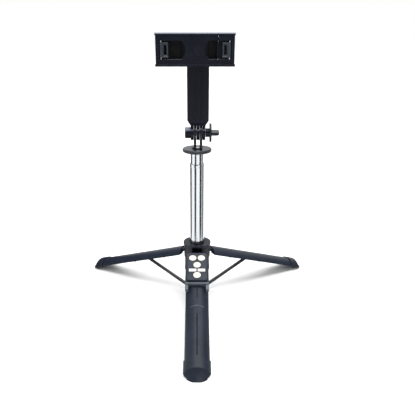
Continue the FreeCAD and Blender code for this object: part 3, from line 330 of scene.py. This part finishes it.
# painted shade: near-black bars laid just under the front leg's surface along its grooves, where shade
# falls
groove_shade = bmesh.new()
for half_width, front_face, reach_along, edge_radius in GROOVES:
    slab(groove_shade, (-half_width, half_width), (front_face, GROOVE_FLOOR), reach_along, edge_radius)
mesh_piece("front_leg_groove_shade", groove_shade, "shadow_black", "front_leg", FRONT)

ARC_STEPS, ARC_SIDES = 24, 7
ARC_HALF_WIDTH, ARC_MIDDLE, ARC_DROP = 0.0068, -0.0736, 0.0015
ARC_ROOT, ARC_RISE, ARC_BASE, ARC_HALF_THICK = 0.01372, 0.00022, 0.00008, 0.00038


def arc_bead():
    """The shallow raised arc that crosses the front leg, fading out at both ends."""
    bead = bmesh.new()
    rings = []
    for step in range(ARC_STEPS + 1):
        across = (step / ARC_STEPS - 0.5) * 2
        x = ARC_HALF_WIDTH * across
        bend = math.asin(x / LEG_RADIUS)
        lift = ARC_RISE * (1 - across ** 8)
        z = ARC_MIDDLE - ARC_DROP * across ** 2
        profile = []
        for turn in range(ARC_SIDES + 1):
            angle = math.pi * turn / ARC_SIDES
            reach = ARC_ROOT + (lift + ARC_BASE) * math.sin(angle)
            profile.append(bead.verts.new((reach * math.sin(bend), -reach * math.cos(bend),
                                           z + ARC_HALF_THICK * math.cos(angle))))
        rings.append(profile)
    for one, two in zip(rings, rings[1:]):
        for index in range(ARC_SIDES):
            bead.faces.new((one[index], one[index + 1], two[index + 1], two[index]))
    return bead


# painted highlight: the raised arc takes the paler leg_edge colour in place of the light along its ridge
mesh_piece("front_leg_arc", arc_bead(), "leg_edge", "front_leg", FRONT)

# painted shade: near-black sheets on the back of each claw opening, where the shade falls: depth, height,
# and reach across the clamp
SHADE_SHEET_DEPTH, SHADE_SHEET_HEIGHT, SHADE_SHEET_EDGE = (-0.00805, -0.00785), (0.2646, 0.2800), 0.00004
for name, body, left, right in (("window_liner_left", "holder", -0.0358, -0.0148),
                                ("window_liner_middle", "holder", 0.0111, 0.0190),
                                ("window_liner_right", "jaw", 0.0206, 0.0324)):
    shade_sheet = bmesh.new()
    slab(shade_sheet, (left, right), SHADE_SHEET_DEPTH, SHADE_SHEET_HEIGHT, SHADE_SHEET_EDGE)
    mesh_piece(name, shade_sheet, "shadow_black", body)


# ------------------------------------------------------------------ floor, light and camera
def plane(name, size):
    """A level square at height 0."""
    mesh = bpy.data.meshes.new(name)
    shape = bmesh.new()
    corners = [shape.verts.new((x * size, y * size, 0.0))
               for x, y in ((-1, -1), (1, -1), (1, 1), (-1, 1))]
    shape.faces.new(corners)
    shape.to_mesh(mesh)
    shape.free()
    made = bpy.data.objects.new(name, mesh)
    bpy.context.scene.collection.objects.link(made)
    return made


FLOOR_HALF_WIDTH = 8.0
floor = plane("floor", FLOOR_HALF_WIDTH)
ground = Shader("floor_paper")
tone = ground.blend(ground.ramp(ground.noise(3.0), 0.0, 1.0), (0.90, 0.90, 0.90), (0.93, 0.93, 0.93))
ground.link(tone, ground.surface.inputs["Base Color"])
ground.surface.inputs["Roughness"].default_value = 0.75
ground.surface.inputs["Specular IOR Level"].default_value = 0.1
floor.data.materials.append(ground.material)


def flag(name, azimuth, half_width, tone=0.02, distance=0.157, height=0.150):
    """A studio card that shows only in reflections, and that shades nothing."""
    mesh = bpy.data.meshes.new(name)
    shape = bmesh.new()
    columns = []
    for step in range(5):
        angle = math.radians(azimuth + (step / 4 - 0.5) * 2 * half_width)
        x, y = math.sin(angle) * distance, -math.cos(angle) * distance
        columns.append([shape.verts.new((x, y, z)) for z in (0.002, height)])
    for one, two in zip(columns, columns[1:]):
        shape.faces.new((one[0], two[0], two[1], one[1]))
    shape.to_mesh(mesh)
    shape.free()
    made = bpy.data.objects.new(name, mesh)
    bpy.context.scene.collection.objects.link(made)
    card = Shader(name)
    card.surface.inputs["Base Color"].default_value = (tone, tone * 1.05, tone * 1.1, 1.0)
    card.surface.inputs["Roughness"].default_value = 0.9
    made.data.materials.append(card.material)
    made.visible_camera = False
    made.visible_diffuse = False
    made.visible_shadow = False
    return made


for index, (azimuth, half, tone) in enumerate(((-27, 14, 0.02), (56, 18, 0.03),
                                               (100, 18, 0.25), (-112, 20, 0.06))):
    flag(f"flag_{index}", azimuth, half, tone)


def studio_world():
    """A bright room above and behind, darker towards the front; plain white where it is seen."""
    world = bpy.data.worlds.new("studio")
    bpy.context.scene.world = world
    world.use_nodes = True
    tree = world.node_tree
    place = tree.nodes.new("ShaderNodeTexCoord")
    split = tree.nodes.new("ShaderNodeSeparateXYZ")
    tree.links.new(place.outputs["Generated"], split.inputs[0])
    depth = tree.nodes.new("ShaderNodeMapRange")
    depth.interpolation_type = "SMOOTHSTEP"
    depth.inputs["From Min"].default_value = -0.75
    depth.inputs["From Max"].default_value = 0.25
    depth.inputs["To Min"].default_value = 0.12
    depth.inputs["To Max"].default_value = 1.0
    tree.links.new(split.outputs["Y"], depth.inputs["Value"])
    seen = tree.nodes.new("ShaderNodeLightPath")
    level = tree.nodes.new("ShaderNodeMath")
    level.operation = "MAXIMUM"
    tree.links.new(depth.outputs["Result"], level.inputs[0])
    tree.links.new(seen.outputs["Is Camera Ray"], level.inputs[1])
    backdrop = tree.nodes["Background"]
    backdrop.inputs["Color"].default_value = (1.0, 1.0, 1.0, 1.0)
    tree.links.new(level.outputs[0], backdrop.inputs["Strength"])


studio_world()


def softbox(name, place, aim, size, power, colour=(1.0, 1.0, 1.0)):
    lamp = bpy.data.lights.new(name, "AREA")
    lamp.shape = "RECTANGLE"
    lamp.size, lamp.size_y = size
    lamp.energy = power
    lamp.color = colour
    made = bpy.data.objects.new(name, lamp)
    made.location = place
    made.rotation_euler = (Vector(aim) - Vector(place)).to_track_quat("-Z", "Y").to_euler()
    bpy.context.scene.collection.objects.link(made)
    return made


sun = bpy.data.lights.new("overhead", "SUN")
sun.energy = 2.2
sun.angle = math.radians(60)
overhead = bpy.data.objects.new("overhead", sun)
overhead.rotation_euler = (math.radians(-12), math.radians(8), 0.0)
bpy.context.scene.collection.objects.link(overhead)
softbox("key", (0.45, -0.75, 0.85), (0, 0, 0.12), (0.35, 0.35), 3.0)
softbox("top_strip", (0.0, -0.36, 1.22), (0, 0, 0.28), (0.8, 0.12), 8.0)
softbox("fill", (-0.85, -0.35, 0.45), (0, 0, 0.15), (0.4, 0.7), 1.6)

camera_data = bpy.data.cameras.new("camera")
camera_data.lens = 41.64
camera_data.sensor_width = 36.0
camera_data.shift_x = 0.0252
camera_data.clip_start = 0.01
camera = bpy.data.objects.new("camera", camera_data)
camera.location = (0.0, -0.4948, 0.2888)
camera.rotation_euler = (math.radians(69.88), 0.0, 0.0)
bpy.context.scene.collection.objects.link(camera)
bpy.context.scene.camera = camera
bpy.context.scene.view_settings.view_transform = "Standard"
